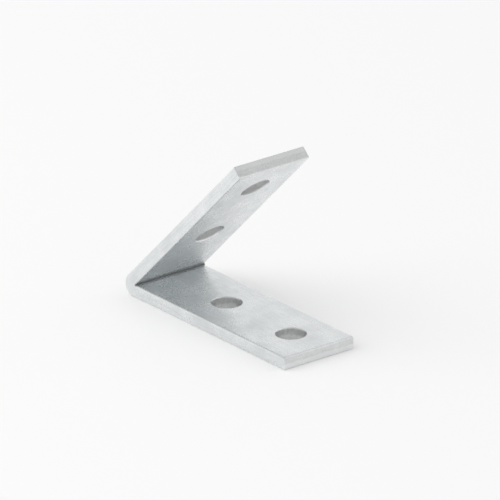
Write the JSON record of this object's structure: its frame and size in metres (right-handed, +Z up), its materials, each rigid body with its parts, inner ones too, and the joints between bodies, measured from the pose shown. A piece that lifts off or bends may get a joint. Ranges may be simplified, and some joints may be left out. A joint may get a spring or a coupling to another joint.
{
  "type": "strut angle fitting",
  "caption": "Thick flat steel bar folded to an acute angle of 45 degrees, with a line of bolt holes in each leg, for joining framing channels.",
  "frame": {"origin": "middle of the base leg's line of holes, on the outer face that the base leg seats on", "axes": "+X along the base leg to its free end, +Y across the bar, +Z up out of the seating face, with the upper leg leaning over the base leg"},
  "size_m": [0.1185, 0.0412, 0.0893],
  "materials": {
    "zinc_steel": "satin zinc plate over mild steel"
  },
  "bodies": {
    "root": {"angle_fitting": "zinc_steel"}
  },
  "joints": []
}
